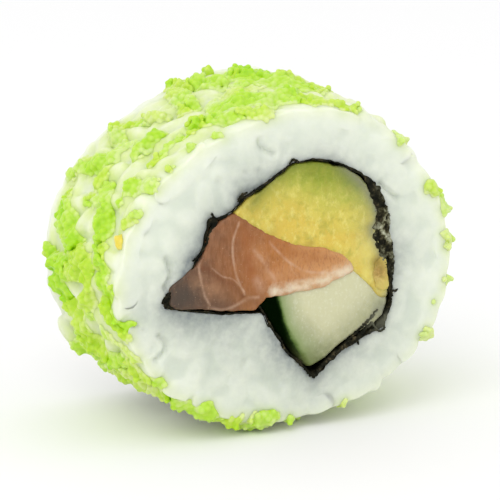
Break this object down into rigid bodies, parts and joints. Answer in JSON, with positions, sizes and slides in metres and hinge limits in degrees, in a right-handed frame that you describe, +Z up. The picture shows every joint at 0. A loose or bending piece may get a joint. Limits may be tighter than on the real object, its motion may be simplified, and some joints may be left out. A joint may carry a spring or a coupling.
{
  "type": "inside-out sushi roll piece",
  "caption": "Cut piece of an inside-out sushi roll lying on its side: rice with green roe outside, a seaweed sheet round salmon, avocado and cucumber.",
  "frame": {"origin": "on the floor under the middle of the piece's bounding box", "axes": "+X to the right across the front cut, +Y from the front cut to the back cut along the roll, +Z up"},
  "size_m": [0.0472, 0.0252, 0.0422],
  "materials": {
    "rice": "moist translucent white cooked rice, soft sheen",
    "roe": "small glossy translucent lime-green balls",
    "nori": "crinkled damp green-black seaweed sheet",
    "avocado": "soft smooth flesh, green at the top and yellow below",
    "salmon": "moist orange-brown fish with pale fat lines",
    "cucumber": "wet pale cream-green flesh, dark green skin at one edge"
  },
  "bodies": {
    "root": {"rice": "rice", "nori": "nori", "avocado": "avocado", "salmon": "salmon", "salmon_scrap": "salmon", "cucumber": "cucumber"}
  },
  "joints": []
}
